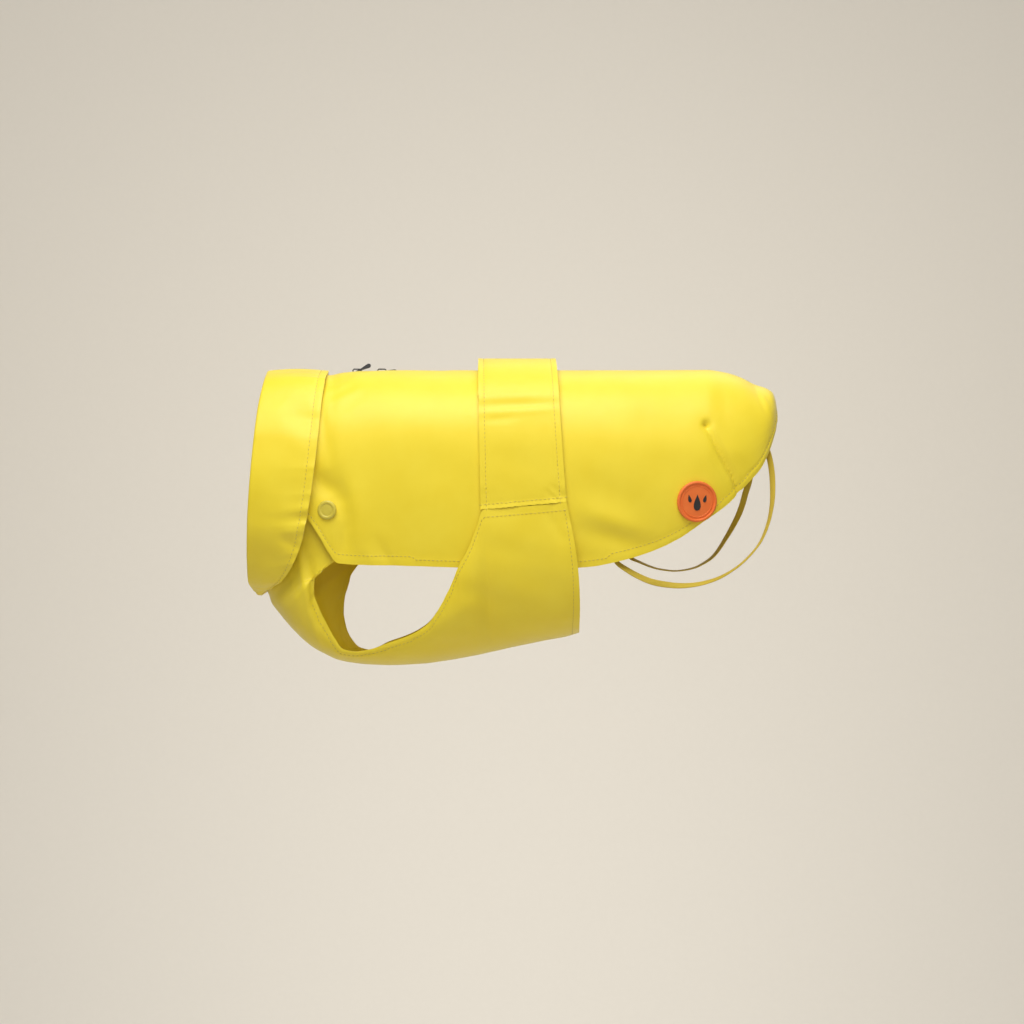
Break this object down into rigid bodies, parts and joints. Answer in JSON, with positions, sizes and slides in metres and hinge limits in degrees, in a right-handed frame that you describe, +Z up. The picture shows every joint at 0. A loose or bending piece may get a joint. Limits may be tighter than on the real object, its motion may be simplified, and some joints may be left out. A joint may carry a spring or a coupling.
{
  "type": "dog vest",
  "caption": "Yellow rain vest for a small dog, with a turned-down collar, belly strap, leg elastics and a zip along the spine.",
  "frame": {"origin": "inner face of the back panel at the spine, midway along the back, where the wearer holds it up", "axes": "+X from the head end to the tail end, +Z up, Y = 0 the garment's middle plane with the near side at -Y"},
  "size_m": [0.369, 0.1436, 0.2145],
  "materials": {
    "cloth": "satin coated nylon",
    "zip_tape": "woven",
    "snap_cap": "satin",
    "patch_rubber": "matte",
    "zip_metal": "gloss black",
    "puller": "gloss black",
    "elastic": "braided"
  },
  "bodies": {
    "vest": {"back_panel": "cloth", "chest_belly_panel": "cloth", "collar": "cloth", "belly_strap_near": "cloth", "belly_strap_far": "cloth", "rubber_badge": "patch_rubber", "rubber_badge_rim": "patch_rubber", "snap_cap_near": "snap_cap", "snap_cap_far": "snap_cap", "zip_tape": "zip_tape", "zip_teeth": "zip_tape", "zip_slider_front": "zip_metal", "zip_slider_back": "zip_metal", "leg_elastic_near": "elastic", "leg_elastic_far": "elastic"},
    "pull_tab_front": {"pull_tab_front": "puller"},
    "pull_tab_back": {"pull_tab_back": "puller"}
  },
  "joints": [
    {"name": "pull_tab_front_turn", "type": "hinge", "parent": "vest", "child": "pull_tab_front", "pos_m": [-0.1, 0, 0.00015], "axis": [0, -1, 0], "range_deg": [-26, 120]},
    {"name": "pull_tab_back_turn", "type": "hinge", "parent": "vest", "child": "pull_tab_back", "pos_m": [-0.0827, 0, 0.00015], "axis": [0, -1, 0], "range_deg": [0, 95]}
  ]
}
